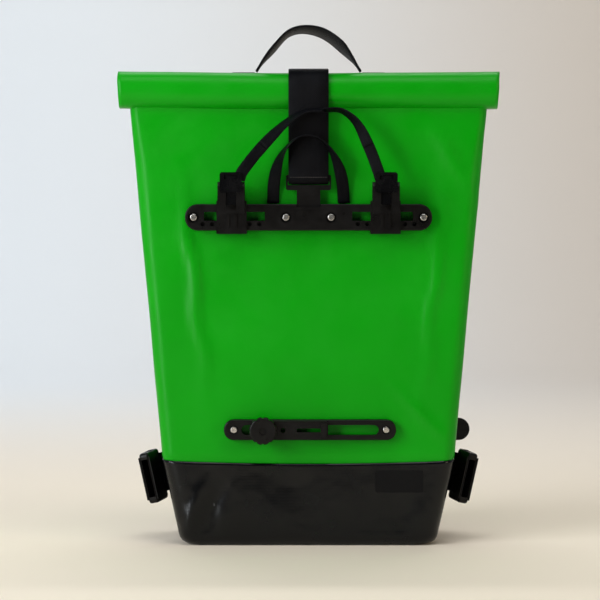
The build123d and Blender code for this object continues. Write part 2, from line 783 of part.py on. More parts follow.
def strap_adjuster():
    """The ladder-lock on the far side, lying on the shoulder."""
    lift = 2 * part_gap
    y0, z0 = slope_point(adjuster_start, lift)
    y1, z1 = slope_point(adjuster_start + 1, lift)
    plane = Plane(origin=(0, y0, z0), x_dir=(1, 0, 0), z_dir=(0, z0 - z1, y1 - y0))
    frame_shape = Pos(0, adjuster_length / 2) * RectangleRounded(
        webbing_width + 2 * adjuster_rim, adjuster_length, adjuster_corner)
    for along in adjuster_slot_places:
        frame_shape -= Pos(0, along) * Rectangle(webbing_width + adjuster_slot_room, adjuster_slot)
    save("strap_adjuster", extrude(plane * frame_shape, adjuster))


def far_strap():
    """The lower strap on the far panel, and the patch that holds it."""
    start = adjuster_start + adjuster_length + 2
    end = far_strap_run
    middle = webbing / 2
    points = [slope_point(start, middle), shoulder_corner(middle), belly_point(end, middle)]
    save("far_strap", bar_x(ribbon(points, webbing), webbing_width))
    patch_points = [belly_point(end - far_patch_length, webbing + far_patch / 2),
                    belly_point(end, webbing + far_patch / 2)]
    save("far_strap_patch", bar_x(ribbon(patch_points, far_patch), webbing_width + 2 * far_patch_margin))


def top_handle():
    """The webbing handle on the roll, and its sewn tails."""
    top = bag_height + roll_height
    ring = arch(handle_half_span, handle_rise, webbing, webbing, handle_width)
    half = handle_width / 2
    left = [(-share * half, height) for share, height in handle_taper]
    right = [(share * half, height) for share, height in reversed(handle_taper)]
    crest = 2 * handle_rise
    side_view = Polygon(*left, (-half, crest), (half, crest), *right, align=None)
    loop = ring & bar_x(side_view, 4 * handle_half_span)
    tails = []
    for side in (-1, 1):
        loop += rod(side * handle_half_span, 0, 0, webbing / 2, webbing, "x")
        inner = side * (handle_half_span + webbing)
        ends = sorted((inner, inner + side * handle_tail))
        tails.append(block(ends[0], ends[1], roll_y - handle_tail_width / 2,
                           roll_y + handle_tail_width / 2, top, top + webbing))
    save("top_handle", Pos(0, roll_y, top + webbing / 2 + part_gap) * Rot(-handle_lean, 0, 0) * loop)
    save("top_handle_tails", join(tails))


# ---- lower rail and its hook ------------------------------------------------------------------
def lower_rail():
    """The lower rail, with a slot in front and a wider channel behind it."""
    front = back_y - lower_rail_depth
    outline = Pos(lower_rail_x, lower_rail_z) * RectangleRounded(
        lower_rail_length, lower_rail_height, (lower_rail_height - rail_end_flat) / 2)
    rail = soften_front(plate_y(outline, front, back_y))
    slot = Pos(lower_rail_x, lower_rail_z) * RectangleRounded(
        lower_slot_length, lower_slot_height, (lower_slot_height - slot_end_flat) / 2)
    rail -= plate_y(slot, front - 1, back_y)
    rail -= block(lower_rail_x - lower_channel_length / 2, lower_rail_x + lower_channel_length / 2,
                  back_y - rail_standoff, back_y + 1,
                  lower_rail_z - lower_channel_height / 2, lower_rail_z + lower_channel_height / 2)
    for x, z in screw_places()[1]:
        rail -= rod(x, back_y, z, screw_hole_radius, 2 * lower_rail_depth + 2)
        rail -= rod(x, front, z, screw_head_radius + lower_recess_room, 2 * counterbore_depth)
    save("lower_rail", rail)


def lower_hook():
    """The slider in the channel, its bolt, the swivelling arm, the washer and the knob."""
    front = back_y - lower_rail_depth
    head_back = back_y - slider_gap
    half = slider_head / 2
    neck = Pos(knob_x, lower_rail_z) * RectangleRounded(
        slider_neck, slider_neck, (slider_neck - slot_end_flat) / 2)
    slider = block(knob_x - half, knob_x + half, head_back - slider_head_depth, head_back,
                   lower_rail_z - half, lower_rail_z + half)
    slider += plate_y(neck, front, head_back)
    arm_back_y = front - part_gap
    washer_y = arm_back_y - arm_plate
    knob_back = washer_y - arm_washer - part_gap
    knob_front = knob_back - knob_depth
    bolt_end = knob_front + knob_recess_depth + bolt_end_gap
    bolt_length = head_back - bolt_end_gap - bolt_end
    bolt = rod(knob_x, bolt_end + bolt_length / 2, lower_rail_z, bolt_radius, bolt_length)
    save("slider_nut", slider - bolt)
    save("hook_bolt", bolt)

    root = Pos(knob_x, lower_rail_z) * Circle(arm_root_radius)
    bar = Pos(knob_x + arm_reach / 2, lower_rail_z) * RectangleRounded(arm_reach, arm_height, arm_corner)
    slit = Pos(knob_x + (arm_slit_start + arm_slit_end) / 2, lower_rail_z) * Rectangle(
        arm_slit_end - arm_slit_start, arm_slit_height)
    hole = Pos(knob_x + arm_hole_x, lower_rail_z) * Circle(arm_hole_radius)
    arm = plate_y(root + bar - slit - hole, washer_y, arm_back_y)
    rib = arm_height / 2 - arm_rib_inset
    arm += block(knob_x + arm_slit_end, knob_x + arm_reach - arm_rib_end, washer_y - arm_rib, washer_y,
                 lower_rail_z - rib, lower_rail_z + rib)
    arm -= rod(knob_x, back_y, lower_rail_z, bolt_bore_radius, 4 * lower_rail_depth)
    save("lower_hook_arm", arm)
    ring_y = washer_y - arm_washer / 2
    ring = rod(knob_x, ring_y, lower_rail_z, arm_washer_radius, arm_washer)
    save("lower_hook_washer", ring - rod(knob_x, ring_y, lower_rail_z, bolt_bore_radius, 2 * arm_washer))

    knob = rod(knob_x, (knob_back + knob_front) / 2, lower_rail_z, knob_radius, knob_depth)
    rims = knob.edges().filter_by(GeomType.CIRCLE).sort_by(Axis.Y)
    knob = fillet(rims[0], knob_edge_round)
    for index in range(knob_scallops):
        angle = index * 360 / knob_scallops
        reach = knob_radius + knob_scallop_radius * 0.55
        x = knob_x + reach * cos(radians(angle))
        z = lower_rail_z + reach * sin(radians(angle))
        knob -= rod(x, (knob_back + knob_front) / 2, z, knob_scallop_radius, knob_depth + 1)
    knob -= rod(knob_x, knob_front, lower_rail_z, knob_recess_radius, 2 * knob_recess_depth)
    bore_depth = knob_back - bolt_end + 0.3
    knob -= rod(knob_x, knob_back - bore_depth / 2 + 0.5, lower_rail_z, bolt_bore_radius, bore_depth + 1)
    save("knob", knob)


# ---- side straps ---------------------------------------------------------------------------------
def side_frame(side):
    """The sloping frame on one side of the boot: X out of the bag, Z up its side."""
    slope = degrees(atan2((base_top_width - bottom_width) / 2, base_height))
    x = side * boot_width_at(side_strap_z) / 2
    return Pos(x, back_y + side_strap_depth, side_strap_z) * Rot(0, side * slope, 0)


def socket_shape():
    """The female half of the buckle, along X, with its mouth at the far end."""
    socket_width = webbing_width + 2 * socket_rim_side
    mouth_size = webbing_width - 2 * socket_mouth_inset
    body = Box(socket_length, socket_depth, socket_width)
    body = fillet(body.edges().filter_by(Axis.Y), socket_corner)
    body = fillet(body.faces().sort_by(Axis.X)[0].edges(), socket_edge_round)
    tip = socket_length / 2
    rim_width = socket_width - 2 * socket_corner
    for side in (-1, 1):
        y = side * (socket_depth / 2 + socket_rim / 2)
        body += Pos(tip - socket_rim_length / 2, y, 0) * Box(socket_rim_length, socket_rim, rim_width)
        z = side * socket_width / 2
        window = Box(socket_window, socket_mouth, socket_width - mouth_size + 2)
        body -= Pos(socket_window_place, 0, z) * window
    mouth = Box(2 * socket_mouth_depth, socket_mouth, mouth_size)
    return body - Pos(tip, 0, 0) * mouth


def side_buckle(name, side):
    """One side strap with its buckle socket, and the patch that it is sewn to."""
    place = side_frame(side)
    half = webbing_width / 2
    patch = block(0, side_patch, -side_patch_length / 2, side_patch_length / 2,
                  -half - patch_margin, half + patch_margin)
    hinge_out = side_patch + part_gap + side_strap / 2 + side_hinge_room
    bend = (hinge_out + side_strap_out * cos(radians(side_strap_turn)),
            -side_strap_out * sin(radians(side_strap_turn)))
    root = (bend[0] + side_strap_end * cos(radians(socket_turn)),
            bend[1] - side_strap_end * sin(radians(socket_turn)))
    band = extrude(ribbon([(hinge_out, 0), bend, root], side_strap), half, both=True)
    strap = band + Pos(hinge_out, 0, 0) * Cylinder(side_strap / 2, webbing_width)
    along = Rot(0, 0, -socket_turn) * Pos(socket_length / 2, 0, 0)
    socket = Pos(root[0], root[1], 0) * along * socket_shape()
    pieces = {"patch": patch, "strap": strap, "socket": socket}
    for key, piece in pieces.items():
        turned = mirror(piece, Plane.YZ) if side < 0 else piece
        save(f"{name}_side_{key}", place * turned)


def main():
    bag_panels()
    inner_boards()
    label_patch()
    side_tab()
    upper_rail()
    rail_fasteners("upper_rail", screw_places()[0], upper_rail_depth)
    rail_hooks()
    release_strap()
    carry_loop()
    roll_top()
    closure_strap()
    strap_hook()
    strap_adjuster()
    far_strap()
    top_handle()
    lower_rail()
    rail_fasteners("lower_rail", screw_places()[1], lower_rail_depth)
    lower_hook()
    side_buckle("left", -1)
    side_buckle("right", 1)


main()
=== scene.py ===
import bmesh
import bpy
from math import cos, exp, pi, radians, sin, tau
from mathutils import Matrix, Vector, noise


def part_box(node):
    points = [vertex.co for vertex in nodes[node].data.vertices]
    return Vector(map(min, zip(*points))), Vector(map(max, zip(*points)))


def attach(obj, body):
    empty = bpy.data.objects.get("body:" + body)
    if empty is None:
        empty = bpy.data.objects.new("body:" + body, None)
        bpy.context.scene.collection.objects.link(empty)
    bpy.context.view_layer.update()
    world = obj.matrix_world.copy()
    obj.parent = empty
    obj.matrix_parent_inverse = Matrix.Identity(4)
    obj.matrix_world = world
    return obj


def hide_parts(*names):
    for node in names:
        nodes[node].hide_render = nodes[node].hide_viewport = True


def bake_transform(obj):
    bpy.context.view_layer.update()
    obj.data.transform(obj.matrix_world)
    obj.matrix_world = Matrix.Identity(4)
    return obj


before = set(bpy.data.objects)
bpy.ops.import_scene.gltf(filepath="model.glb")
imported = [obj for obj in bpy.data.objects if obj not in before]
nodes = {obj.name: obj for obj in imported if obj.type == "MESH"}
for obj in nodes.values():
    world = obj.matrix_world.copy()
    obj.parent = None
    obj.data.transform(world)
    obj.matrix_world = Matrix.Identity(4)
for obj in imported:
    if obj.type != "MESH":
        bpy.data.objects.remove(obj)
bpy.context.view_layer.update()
MM = 0.001


# ---- places taken from the frame -----------------------------------------------------
def low(node):
    return Vector(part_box(node)[0])


def high(node):
    return Vector(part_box(node)[1])


rack_y = low("back_panel").y
road_y = high("base_boot").y
base_depth = road_y - rack_y
boot_top = high("base_boot").z
boot_half = high("base_boot").x
panel_top = high("back_panel").z
mouth_half = high("right_gusset").x
roll_low = low("roll_top")
roll_high = high("roll_top")
roll_mid = (roll_low + roll_high) / 2
webbing_width = high("closure_strap").x - low("closure_strap").x
patch_width = high("far_strap_patch").x - low("far_strap_patch").x

# ---- sizes of the soft pieces --------------------------------------------------------
skin_thickness = 1.0 * MM
boot_thickness = 1.2 * MM
roll_thickness = 1.1 * MM
patch_thickness = 1.2 * MM
webbing_thickness = 1.8 * MM
release_width = 11.5 * MM
release_thickness = 1.6 * MM
anchor_width = 18 * MM
anchor_thickness = 1.4 * MM
loop_width = 12.2 * MM
loop_thickness = 1.5 * MM
handle_thickness = 2.0 * MM
boot_foot_half = 128 * MM
foot_slack = 10 * MM            # the bag is this much shallower at the floor than at the boot's top
shoulder_slope = radians(46.2)  # of the far side, where the adjuster lies
strap_softness = 0.35           # rounding of a strap's edges, as a share of its thickness
roll_squareness = 2.5           # 2 would make the roll's section an ellipse

# How many points one level of the bag has along its rack and road sides, ends and corners.
front_points = 56
side_points = 22
corner_points = 8

across_x = Vector((1, 0, 0))


# ---- curves --------------------------------------------------------------------------
def smooth_step(value, start, end):
    """0 before start, 1 after end, and a smooth rise between them."""
    share = min(max((value - start) / (end - start), 0.0), 1.0)
    return share * share * (3 - 2 * share)


def ridge(value, centre, width):
    """A soft bump of height 1 at centre."""
    return exp(-((value - centre) / width) ** 2)


def through(stops, where):
    """A smooth value at a place, from stops of (place, value)."""
    last = len(stops) - 2
    index = next((i for i in range(last) if where <= stops[i + 1][0]), last)
    (a, value_a), (b, value_b) = stops[index], stops[index + 1]
    before = stops[max(index - 1, 0)]
    after = stops[min(index + 2, len(stops) - 1)]
    slope_a = (value_b - before[1]) / max(b - before[0], 1e-9)
    slope_b = (after[1] - value_a) / max(after[0] - a, 1e-9)
    span = b - a
    t = min(max((where - a) / span, 0.0), 1.0)
    return ((2 * t**3 - 3 * t**2 + 1) * value_a + (t**3 - 2 * t**2 + t) * span * slope_a
            + (-2 * t**3 + 3 * t**2) * value_b + (t**3 - t**2) * span * slope_b)


def curve_through(points, steps):
    """Evenly run smooth points through a few chosen ones."""
    lengths = [0.0]
    for a, b in zip(points, points[1:]):
        lengths.append(lengths[-1] + (b - a).length)
    result = []
    for i in range(steps + 1):
        where = lengths[-1] * i / steps
        result.append(Vector([through([(run, point[axis]) for run, point in zip(lengths, points)], where)
                              for axis in range(3)]))
    return result


def tangent_at(path, index):
    """The direction of a path at one of its points."""
    before = path[max(index - 1, 0)]
    after = path[min(index + 1, len(path) - 1)]
    return (after - before).normalized()


# ---- meshes --------------------------------------------------------------------------
def link(obj):
    bpy.context.scene.collection.objects.link(obj)
    return obj


def grid(name, rows, wrap_across=True, cap=False, uv=None):
    """A mesh from rows of points; each row is one ring or strip across the piece."""
    across = len(rows[0])
    verts = [tuple(point) for row in rows for point in row]
    last_column = across if wrap_across else across - 1
    faces = []
    for i in range(len(rows) - 1):
        here = i * across
        there = here + across
        for j in range(last_column):
            j2 = (j + 1) % across
            faces.append((here + j, here + j2, there + j2, there + j))
    if cap:
        faces.append(tuple(reversed(range(across))))
        faces.append(tuple(range((len(rows) - 1) * across, len(rows) * across)))
    mesh = bpy.data.meshes.new(name)
    mesh.from_pydata(verts, [], faces)
    if uv:
        layer = mesh.uv_layers.new(name="UVMap")
        for loop in mesh.loops:
            row, column = divmod(loop.vertex_index, across)
            layer.data[loop.index].uv = uv[row][column]
    mesh.validate()
    mesh.update()
    mesh.shade_smooth()
    return link(bpy.data.objects.new(name, mesh))


def face_outwards(obj):
    """Turn every face so that its normal points out of the closed piece."""
    work = bmesh.new()
    work.from_mesh(obj.data)
    bmesh.ops.recalc_face_normals(work, faces=work.faces)
    work.to_mesh(obj.data)
    work.free()
    return obj


def thicken(obj, amount, offset=-1):
    """Give a sheet its thickness: inwards at offset -1, to both sides at 0."""
    layer = obj.modifiers.new("thickness", "SOLIDIFY")
    layer.thickness = amount
    layer.offset = offset


def merge(name, objects):
    """Several meshes made into one piece."""
    work = bmesh.new()
    for obj in objects:
        work.from_mesh(obj.data)
    mesh = bpy.data.meshes.new(name)
    work.to_mesh(mesh)
    work.free()
    for obj in objects:
        bpy.data.objects.remove(obj)
    mesh.shade_smooth()
    return link(bpy.data.objects.new(name, mesh))


def band(name, path, widths, half_sections):
    """A closed band swept along path.

    widths gives the direction of its width at each point, and half_sections the points
    (across, out) on one of its faces, which the other face mirrors.
    """
    rows = []
    uv = []
    run = 0.0
    for index, point in enumerate(path):
        run += (point - path[max(index - 1, 0)]).length
        tangent = tangent_at(path, index)
        side = (widths[index] - tangent * widths[index].dot(tangent)).normalized()
        normal = tangent.cross(side)
        half = half_sections[index]
        section = half + [(across, -out) for across, out in reversed(half)]
        rows.append([point + side * across + normal * out for across, out in section])
        uv.append([(run, across) for across, out in section])
    return face_outwards(grid(name, rows, cap=True, uv=uv))


def strap(name, path, widths, width, thickness):
    """Flat webbing of one width along path."""
    half_w = width / 2
    half_t = thickness / 2
    soft = thickness * strap_softness
    half = [(-half_w, -half_t + soft), (-half_w + soft, -half_t), (-half_w / 3, -half_t),
            (half_w / 3, -half_t), (half_w - soft, -half_t), (half_w, -half_t + soft)]
    return band(name, path, widths, [half] * len(path))


def side_run(start, end, count, z):
    """Level points from start up to, but without, end."""
    return [Vector((start[0] + (end[0] - start[0]) * i / count,
                    start[1] + (end[1] - start[1]) * i / count, z)) for i in range(count)]


def corner(x, y, radius, first_angle, z):
    """A level quarter turn of points round x and y, without its last one."""
    turn = [first_angle + pi / 2 * i / corner_points for i in range(corner_points)]
    return [Vector((x + radius * cos(angle), y + radius * sin(angle), z)) for angle in turn]


def ring(half_width, depth, rack_corner, road_corner, z):
    """One level of the bag: its rack side along rack_y, with soft upright corners."""
    back = rack_y + depth
    rack_x = half_width - rack_corner
    road_x = half_width - road_corner
    rack_end = rack_y + rack_corner
    road_end = back - road_corner
    return (side_run((-rack_x, rack_y), (rack_x, rack_y), front_points, z)
            + corner(rack_x, rack_end, rack_corner, -pi / 2, z)
            + side_run((half_width, rack_end), (half_width, road_end), side_points, z)
            + corner(road_x, road_end, road_corner, 0.0, z)
            + side_run((road_x, back), (-road_x, back), front_points, z)
            + corner(-road_x, road_end, road_corner, pi / 2, z)
            + side_run((-half_width, road_end), (-half_width, rack_end), side_points, z)
            + corner(-rack_x, rack_end, rack_corner, pi, z))


# ---- material nodes ------------------------------------------------------------------
def material(name, colour, roughness, metallic=0.0, specular=0.5):
    made = bpy.data.materials.new(name)
    made.use_nodes = True
    shader = made.node_tree.nodes["Principled BSDF"]
    shader.inputs["Base Color"].default_value = (*colour, 1)
    shader.inputs["Roughness"].default_value = roughness
    shader.inputs["Metallic"].default_value = metallic
    shader.inputs["Specular IOR Level"].default_value = specular
    return made, made.node_tree, shader


def coordinates(tree, scale=(1, 1, 1), source="Object"):
    """The piece's own coordinates, or a strap's UV, scaled."""
    places = tree.nodes.new("ShaderNodeTexCoord")
    mapping = tree.nodes.new("ShaderNodeMapping")
    mapping.inputs["Scale"].default_value = scale
    tree.links.new(places.outputs[source], mapping.inputs["Vector"])
    return mapping.outputs["Vector"]


def axis_of(tree, source, axis):
    """One axis of the object's or the world's coordinates."""
    places = tree.nodes.new("ShaderNodeTexCoord")
    axes = tree.nodes.new("ShaderNodeSeparateXYZ")
    tree.links.new(places.outputs[source], axes.inputs["Vector"])
    return axes.outputs[axis]


def noise_of(tree, vector, scale, detail=3.0, roughness=0.5):
    made = tree.nodes.new("ShaderNodeTexNoise")
    made.inputs["Scale"].default_value = scale
    made.inputs["Detail"].default_value = detail
    made.inputs["Roughness"].default_value = roughness
    tree.links.new(vector, made.inputs["Vector"])
    return made.outputs["Fac"]


def wave_of(tree, vector, direction, scale, distortion=0.0):
    made = tree.nodes.new("ShaderNodeTexWave")
    made.wave_type = "BANDS"
    made.bands_direction = direction
    made.inputs["Scale"].default_value = scale
    made.inputs["Distortion"].default_value = distortion
    tree.links.new(vector, made.inputs["Vector"])
    return made.outputs["Fac"]


def product(tree, first, second):
    made = tree.nodes.new("ShaderNodeMath")
    made.operation = "MULTIPLY"
    tree.links.new(first, made.inputs[0])
    tree.links.new(second, made.inputs[1])
    return made.outputs["Value"]


def map_range(tree, value, start, end, lowest=0.0, highest=1.0, kind="LINEAR"):
    """Spread the stretch of a value from start to end over lowest to highest."""
    made = tree.nodes.new("ShaderNodeMapRange")
    made.interpolation_type = kind
    made.inputs["From Min"].default_value = start
    made.inputs["From Max"].default_value = end
    made.inputs["To Min"].default_value = lowest
    made.inputs["To Max"].default_value = highest
    tree.links.new(value, made.inputs["Value"])
    return made.outputs["Result"]


def vary_roughness(tree, shader, texture, lowest, highest):
    """Let the roughness follow a noise, whose values are mostly between 0.3 and 0.7."""
    tree.links.new(map_range(tree, texture, 0.3, 0.7, lowest, highest), shader.inputs["Roughness"])


def tint(tree, shader, value, dark, light):
    """Base colour that varies between two close tones."""
    ramp = tree.nodes.new("ShaderNodeValToRGB")
    ramp.color_ramp.elements[0].position = 0.3
    ramp.color_ramp.elements[0].color = (*dark, 1)
    ramp.color_ramp.elements[1].position = 0.7
    ramp.color_ramp.elements[1].color = (*light, 1)
    tree.links.new(value, ramp.inputs["Fac"])
    tree.links.new(ramp.outputs["Color"], shader.inputs["Base Color"])


def blend_colours(tree, share, first, second):
    """Mix two colours, each a value or another node's output."""
    made = tree.nodes.new("ShaderNodeMix")
    made.data_type = "RGBA"
    colour_a, colour_b = made.inputs[6:8]
    colour_result = made.outputs[2]
    tree.links.new(share, made.inputs["Factor"])
    for socket, colour in ((colour_a, first), (colour_b, second)):
        if isinstance(colour, tuple):
            socket.default_value = (*colour, 1)
        else:
            tree.links.new(colour, socket)
    return colour_result


def bumps(tree, shader, layers):
    """Stack bump textures: (height value, strength, distance in metres)."""
    normal = None
    for value, strength, distance in layers:
        made = tree.nodes.new("ShaderNodeBump")
        made.inputs["Strength"].default_value = strength
        made.inputs["Distance"].default_value = distance
        tree.links.new(value, made.inputs["Height"])
        if normal is not None:
            tree.links.new(normal, made.inputs["Normal"])
        normal = made.outputs["Normal"]
    tree.links.new(normal, shader.inputs["Normal"])


# ---- materials -----------------------------------------------------------------------
def tarpaulin(name, dark, light, roughness, crumple, specular):
    """Coated fabric: scrim threads showing faintly through a glossy skin, with soft crumples."""
    made, tree, shader = material(name, light, roughness, specular=specular)
    plain = coordinates(tree)
    tint(tree, shader, noise_of(tree, plain, 9.0), dark, light)
    handling = noise_of(tree, plain, 34.0, detail=4.0)
    vary_roughness(tree, shader, handling, roughness - 0.07, roughness + 0.08)
    scrim = product(tree, wave_of(tree, plain, "X", 210.0), wave_of(tree, plain, "Z", 210.0))
    grain = noise_of(tree, plain, 420.0, detail=2.0)
    soft = noise_of(tree, plain, 26.0, detail=2.0)
    bumps(tree, shader, [(soft, crumple, 4 * MM), (scrim, 0.12, 0.2 * MM), (grain, 0.10, 0.2 * MM)])
    return made


def webbing_material():
    """Black woven webbing: a herringbone of ribs along the strap."""
    made, tree, shader = material("black_webbing", (0.003, 0.003, 0.004), 0.42, specular=0.07)
    along = coordinates(tree, source="UV")
    ribs = wave_of(tree, along, "Y", 260.0, distortion=0.6)
    picks = wave_of(tree, along, "DIAGONAL", 330.0, distortion=0.4)
    plain = coordinates(tree)
    fuzz = noise_of(tree, plain, 900.0, detail=2.0)
    tint(tree, shader, noise_of(tree, plain, 60.0), (0.0014, 0.0015, 0.0024), (0.0036, 0.0038, 0.0052))
    bumps(tree, shader, [(product(tree, ribs, picks), 0.6, 0.5 * MM), (fuzz, 0.25, 0.2 * MM)])
    return made


def plastic(name, dark, light, roughness):
    """Moulded plastic with a fine spark-eroded texture and slight handling shine."""
    made, tree, shader = material(name, light, roughness, specular=0.17)
    plain = coordinates(tree)
    tint(tree, shader, noise_of(tree, plain, 45.0), dark, light)
    handling = noise_of(tree, plain, 80.0, detail=5.0)
    vary_roughness(tree, shader, handling, roughness - 0.1, roughness + 0.1)
    eroded = noise_of(tree, plain, 1500.0, detail=2.0)
    flow = noise_of(tree, plain, 120.0, detail=2.0)
    bumps(tree, shader, [(eroded, 0.25, 0.2 * MM), (flow, 0.08, 0.5 * MM)])
    return made


def steel(name, colour, roughness):
    """Stainless steel, lightly brushed."""
    made, tree, shader = material(name, colour, roughness, metallic=1.0)
    streaks = noise_of(tree, coordinates(tree, (400, 30, 400)), 6.0)
    tint(tree, shader, streaks, tuple(channel * 0.8 for channel in colour), colour)
    vary_roughness(tree, shader, streaks, roughness - 0.06, roughness + 0.1)
    bumps(tree, shader, [(streaks, 0.1, 0.1 * MM)])
    return made


def board_material():
    """Grey plastic sheet with a faint extruded grain."""
    made, tree, shader = material("inner_board", (0.16, 0.16, 0.17), 0.5)
    grain = noise_of(tree, coordinates(tree, (1, 1, 30)), 60.0)
    tint(tree, shader, grain, (0.13, 0.13, 0.14), (0.18, 0.18, 0.19))
    bumps(tree, shader, [(grain, 0.1, 0.3 * MM)])
    return made


green = tarpaulin("green_tarpaulin", (0.0012, 0.285, 0.002), (0.0025, 0.330, 0.004),
                  roughness=0.36, crumple=0.13, specular=0.18)
black = tarpaulin("black_tarpaulin", (0.0010, 0.0013, 0.0018), (0.0020, 0.0025, 0.0032),
                  roughness=0.22, crumple=0.34, specular=0.26)
patch = tarpaulin("patch_cloth", (0.002, 0.002, 0.0025), (0.004, 0.004, 0.0045),
                  roughness=0.42, crumple=0.08, specular=0.14)
webbing = webbing_material()
moulded = plastic("moulded_plastic", (0.0034, 0.0030, 0.0029), (0.0062, 0.0056, 0.0054), 0.36)
gloss_moulded = plastic("latch_plastic", (0.0018, 0.0018, 0.0022), (0.0036, 0.0036, 0.0042), 0.24)
thread = plastic("stitching_thread", (0.040, 0.036, 0.034), (0.070, 0.062, 0.060), 0.6)
stainless = steel("stainless_steel", (0.72, 0.70, 0.66), 0.25)
board = board_material()


def dress(obj, finish, body=None):
    """Give a piece its material, and the body it rides on."""
    obj.data.materials.clear()
    obj.data.materials.append(finish)
    if body:
        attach(obj, body)


# ---- the bag's skin ------------------------------------------------------------------
def bag_half_width(z):
    share = (z - boot_top) / (panel_top - boot_top)
    return boot_half + (mouth_half - boot_half) * share


def bag_depth(z):
    """Depth of the filled-out bag at height z, from the full boot to the flat mouth."""
    stops = [(0.0, base_depth - foot_slack), (boot_top, base_depth), (0.17, base_depth - 5 * MM),
             (0.25, base_depth - 16 * MM), (0.32, base_depth - 38 * MM), (0.37, base_depth - 60 * MM),
             (0.41, 58 * MM), (panel_top, 27 * MM), (roll_mid.z, 20 * MM)]
    return through(stops, z)


def crease(x, z, place, level, lean, width, centre, length):
    """Height, 0 to 1, of a soft fold that crosses level at place and leans sideways."""
    return ridge(x, place + lean * (z - level), width) * ridge(z, centre, length)


def skin_push(point):
    """How far the skin stands out at a point, from its slack, creases and weld."""
    x, y, z = point
    swell = 2.4 * noise.noise(Vector((x * 9, y * 9, z * 7)))
    swell += 0.9 * noise.noise(Vector((x * 24, y * 24, z * 19 + 5)))
    under_strap = ridge(x, 0.0, 34 * MM) * smooth_step(z, 0.30, 0.35)
    away_from_rack = swell * (1 - under_strap) - 2.0 * under_strap

    wobble = 2.5 * MM * sin(z * 75)
    at_rack = 0.7 * noise.noise(Vector((x * 16, 3.1, z * 11))) * smooth_step(abs(x), 95 * MM, 140 * MM)
    at_rack += 4.2 * crease(x, z, -120 * MM + wobble, 0.31, -0.12, 4.5 * MM, 0.26, 75 * MM)
    at_rack -= 0.5 * crease(x, z, -107 * MM, 0.31, -0.12, 8 * MM, 0.30, 65 * MM)
    at_rack += 3.4 * crease(x, z, 130 * MM + wobble, 0.30, 0.10, 4.5 * MM, 0.26, 85 * MM)
    at_rack += 2.8 * crease(x, z, 136 * MM, 0.40, -0.55, 7 * MM, 0.39, 32 * MM)
    at_rack += 2.2 * crease(x, z, 92 * MM, 0.155, -0.90, 6 * MM, 0.13, 25 * MM)

    near_rack = 1.0 - smooth_step(y, rack_y + 4 * MM, rack_y + 40 * MM)
    weld = 0.5 * (1.0 - smooth_step(z, boot_top + 6 * MM, boot_top + 7.5 * MM))
    return (at_rack * near_rack + away_from_rack * (1.0 - near_rack) + weld) * MM


def skin_normal(way, half, depth):
    """Which way is out, for a point that lies way from the middle of its level."""
    sideways = way.x / half if abs(way.x) > half - 14 * MM else 0.0
    forwards = 0.0
    if way.y > depth / 2 - 8 * MM:
        forwards = 1.0
    elif way.y < -depth / 2 + 5 * MM:
        forwards = -1.0
    out = Vector((sideways, forwards, 0))
    if out.length < 0.1:
        out = Vector((1 if way.x > 0 else -1, 0, 0))
    return out.normalized()


def skin_level(z):
    """One ring of the skin: tucked in inside the boot, slack above it, drawn into the roll."""
    half = boot_half - (boot_top - z) * 0.22 if z < boot_top else bag_half_width(min(z, panel_top))
    depth = bag_depth(z)
    neck = smooth_step(z, 0.375, panel_top)
    rack_corner = (13 - 4 * neck) * MM
    road_corner = min((34 - 22 * neck) * MM, depth / 2 - 1 * MM)
    centre = Vector((0, rack_y + depth / 2, z))
    loose = 1 - smooth_step(z, panel_top - 30 * MM, panel_top)
    loose *= smooth_step(z, boot_top - 1 * MM, boot_top + 28 * MM)
    tuck = 1.2 * MM + 3 * MM * (1 - smooth_step(z, boot_top - 12 * MM, boot_top - 5 * MM))
    tuck *= 1 - smooth_step(z, boot_top - 1 * MM, boot_top + 5 * MM)
    narrow = Vector((1 - tuck / half, 1 - 2 * tuck / depth, 1))
    drawn_in = smooth_step(z, panel_top - 4 * MM, roll_mid.z)
    shift = Vector((0, (roll_mid.y - centre.y) * drawn_in, 0))
    level = []
    for point in ring(half, depth, rack_corner, road_corner, z):
        way = point - centre
        pushed = way + skin_normal(way, half, depth) * skin_push(point) * loose
        level.append(centre + shift + pushed * narrow)
    return level


def bag_skin():
    """One continuous shell from inside the boot up into the roll."""
    levels = 92
    bottom = boot_top - 22 * MM
    rows = [skin_level(bottom + (roll_mid.z - bottom) * i / levels) for i in range(levels + 1)]
    skin = face_outwards(grid("bag_skin", rows))
    thicken(skin, skin_thickness)
    dress(skin, green)
    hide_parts("back_panel", "front_panel", "left_gusset", "right_gusset")
    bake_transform(skin)


# ---- the boot ------------------------------------------------------------------------
def boot_push(x, y, z):
    """How far the boot's cloth stands out at a point: crumples, and folds near its lower corners."""
    crumple = 1.9 * noise.noise(Vector((x * 15, y * 12, z * 12 + 2)))
    crumple += 0.6 * noise.noise(Vector((x * 38, y * 30, z * 20)))
    wander = 3 * MM * sin(z * 90)
    crumple += 4.4 * crease(x, z, -124 * MM, 0.0, 0.30, 7 * MM, 34 * MM, 30 * MM)
    crumple -= 3.6 * crease(x, z, -108 * MM, 0.0, 0.30, 9 * MM, 46 * MM, 28 * MM)
    crumple += 0.8 * crease(x, z, -88 * MM + wander, 0.0, 0.0, 6 * MM, 48 * MM, 30 * MM)
    crumple += 1.9 * crease(x, z, 106 * MM, 0.0, 0.25, 8 * MM, 30 * MM, 25 * MM)
    crumple -= 1.4 * crease(x, z, 88 * MM, 0.0, 0.25, 9 * MM, 38 * MM, 25 * MM)
    free = smooth_step(z, 3 * MM, 16 * MM) * (1 - smooth_step(z, 58 * MM, 80 * MM))
    return (0.55 + crumple * free) * MM


